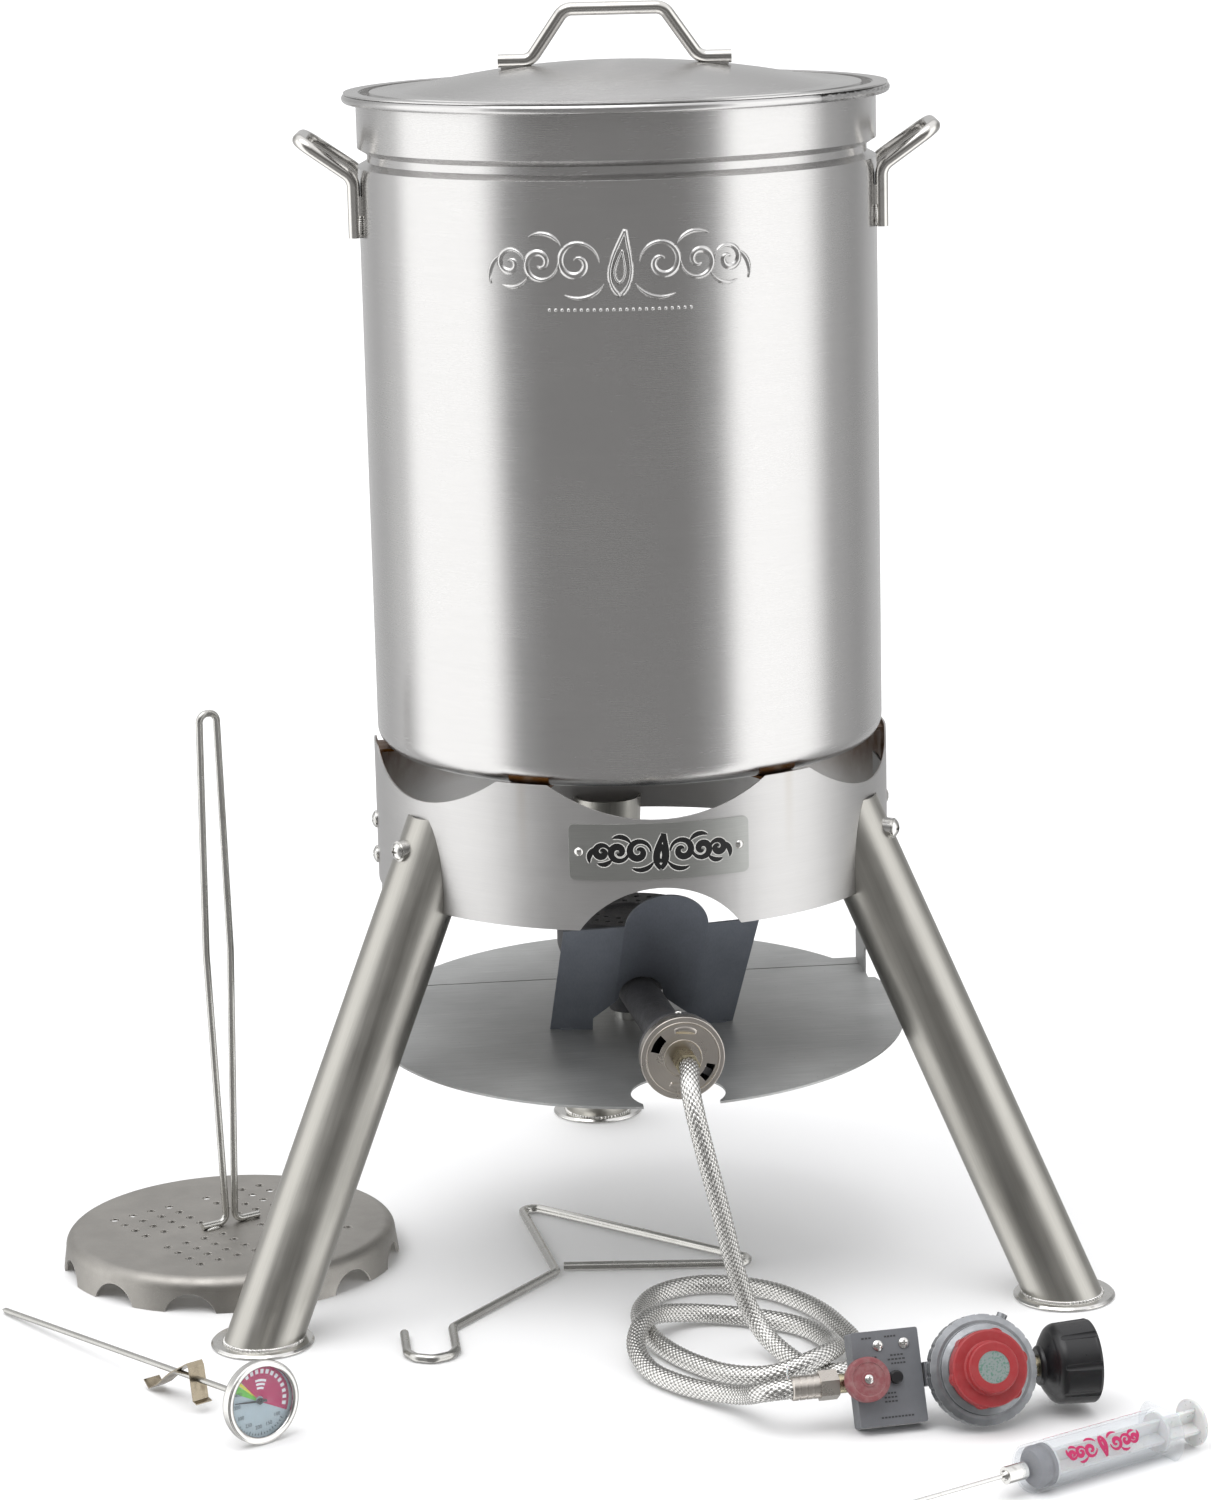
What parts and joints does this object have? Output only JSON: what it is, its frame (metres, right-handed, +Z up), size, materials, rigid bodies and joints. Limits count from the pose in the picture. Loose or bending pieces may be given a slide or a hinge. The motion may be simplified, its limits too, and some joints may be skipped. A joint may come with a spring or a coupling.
{
  "type": "turkey fryer kit",
  "caption": "Outdoor fryer: tripod gas burner stand with wind ring and heat shield, stock pot with lid, braided hose with regulator, and loose rack, hook, thermometer and injector.",
  "frame": {"origin": "on the floor, on the vertical axis of the wind ring and pot", "axes": "+Z up; -Y towards the front of the stand, where the burner tube and name plate are; +X to the right of someone facing the front"},
  "size_m": [0.7641, 0.8905, 0.88],
  "materials": {
    "ring_steel": "brushed stainless sheet",
    "leg_steel": "satin stainless tube",
    "plate_steel": "satin plate with a black mark",
    "bright_steel": "polished fasteners",
    "shield_steel": "scuffed mill sheet",
    "baffle_steel": "dark coated sheet",
    "cast_iron": "raw casting",
    "nickel": "brushed nickel plate",
    "brass": "turned",
    "braid": "stainless braid",
    "hose_rubber": "matt",
    "knob_plastic": "dusty red",
    "box_plastic": "grey satin",
    "black_plastic": "black",
    "zinc": "die-cast, blasted",
    "red_plastic": "red satin",
    "badge": "printed disc",
    "pot_steel": "brushed stainless",
    "rod_steel": "polished stainless rod",
    "rack_steel": "bead-blasted aluminium",
    "wire_steel": "drawn wire",
    "dial_print": "printed dial",
    "needle_black": "black",
    "lens": "clear",
    "clear_plastic": "translucent plastic",
    "white_plastic": "white",
    "seal_rubber": "dark grey"
  },
  "bodies": {
    "stand": {"wind_ring": "ring_steel", "pot_rests": "ring_steel", "nameplate": "plate_steel", "nameplate_rivets": "bright_steel", "leg_left": "leg_steel", "leg_right": "leg_steel", "leg_rear": "leg_steel", "foot_rings": "bright_steel", "leg_saddle_washers": "bright_steel", "leg_bolts": "bright_steel", "leg_nuts": "bright_steel", "heat_shield": "shield_steel", "shield_bolts": "bright_steel", "shield_nuts": "bright_steel", "burner": "cast_iron", "burner_spacer": "bright_steel", "burner_bolt": "bright_steel", "hose_baffle": "baffle_steel", "baffle_screws": "bright_steel", "baffle_nuts": "bright_steel", "orifice_fitting": "brass", "swivel_nut_burner": "brass", "hose_braid": "braid", "hose_liner": "hose_rubber", "hose_ferrule": "nickel", "swivel_nut_valve": "nickel", "valve_body": "brass", "control_cover": "box_plastic", "control_plate": "box_plastic", "cover_screws": "bright_steel", "regulator_body": "zinc", "regulator_diaphragm": "hose_rubber", "regulator_bonnet": "zinc", "regulator_spring": "bright_steel", "inlet_nipple": "brass"},
    "pot": {"pot": "pot_steel", "pot_handles": "rod_steel"},
    "lid": {"lid": "pot_steel", "lid_handle": "rod_steel"},
    "air_shutter": {"air_shutter": "nickel"},
    "valve_knob": {"valve_spindle": "brass", "valve_knob": "knob_plastic", "knob_screw": "bright_steel"},
    "reset_button": {"reset_button": "black_plastic"},
    "adjuster": {"adjuster_cap": "red_plastic", "adjuster_badge": "badge"},
    "tank_nut": {"tank_nut": "black_plastic"},
    "rack": {"rack_plate": "rack_steel", "rack_loop": "wire_steel"},
    "grab_hook": {"grab_hook": "wire_steel"},
    "thermometer": {"thermometer_stem": "wire_steel", "thermometer_case": "bright_steel", "dial_face": "dial_print", "dial_lens": "lens"},
    "dial_needle": {"dial_needle": "needle_black"},
    "stem_clip": {"stem_clip": "bright_steel"},
    "injector": {"injector_barrel": "clear_plastic", "injector_needle": "bright_steel"},
    "injector_plunger": {"injector_plunger": "white_plastic", "injector_piston": "seal_rubber"}
  },
  "joints": [
    {"name": "pot_lift", "type": "slide", "parent": "stand", "child": "pot", "axis": [0, 0, 1], "range_m": [0, 0.4]},
    {"name": "lid_lift", "type": "slide", "parent": "pot", "child": "lid", "axis": [0, 0, 1], "range_m": [0, 0.3]},
    {"name": "air_shutter_turn", "type": "hinge", "parent": "stand", "child": "air_shutter", "pos_m": [0.0096, -0.19954, 0.197], "axis": [0.068, -0.9977, 0], "range_deg": [-60, 60]},
    {"name": "valve_knob_turn", "type": "hinge", "parent": "stand", "child": "valve_knob", "pos_m": [0.10097, -0.38845, 0.03715], "axis": [0.1113, -0.9067, 0.4067], "range_deg": [0, 360]},
    {"name": "reset_button_push", "type": "slide", "parent": "stand", "child": "reset_button", "axis": [-0.1113, 0.9067, -0.4067], "range_m": [0, 0.0018]},
    {"name": "adjuster_turn", "type": "hinge", "parent": "stand", "child": "adjuster", "pos_m": [0.17717, -0.3936, 0.0417], "axis": [0.1113, -0.9067, 0.4067], "range_deg": [0, 720]},
    {"name": "tank_nut_spin", "type": "hinge", "parent": "stand", "child": "tank_nut", "pos_m": [0.22428, -0.36698, 0.03161], "axis": [0.9925, 0.1219, 0], "continuous": true},
    {"name": "rack_lift", "type": "slide", "parent": "stand", "child": "rack", "axis": [0, 0, 1], "range_m": [0, 0.1]},
    {"name": "hook_lift", "type": "slide", "parent": "stand", "child": "grab_hook", "axis": [0, 0, 1], "range_m": [0, 0.06]},
    {"name": "thermometer_lift", "type": "slide", "parent": "stand", "child": "thermometer", "axis": [0, 0, 1], "range_m": [0, 0.3]},
    {"name": "needle_swing", "type": "hinge", "parent": "thermometer", "child": "dial_needle", "pos_m": [-0.2774, -0.3397, 0.0274], "axis": [0.5446, -0.835, 0.0779], "range_deg": [0, 270]},
    {"name": "clip_slide", "type": "slide", "parent": "thermometer", "child": "stem_clip", "axis": [0.5446, -0.835, 0.0779], "range_m": [-0.15, 0.035]},
    {"name": "injector_lift", "type": "slide", "parent": "stand", "child": "injector", "axis": [0, 0, 1], "range_m": [0, 0.3]},
    {"name": "plunger_slide", "type": "slide", "parent": "injector", "child": "injector_plunger", "axis": [0.8944, 0.4472, 0], "range_m": [0, 0.075]}
  ]
}
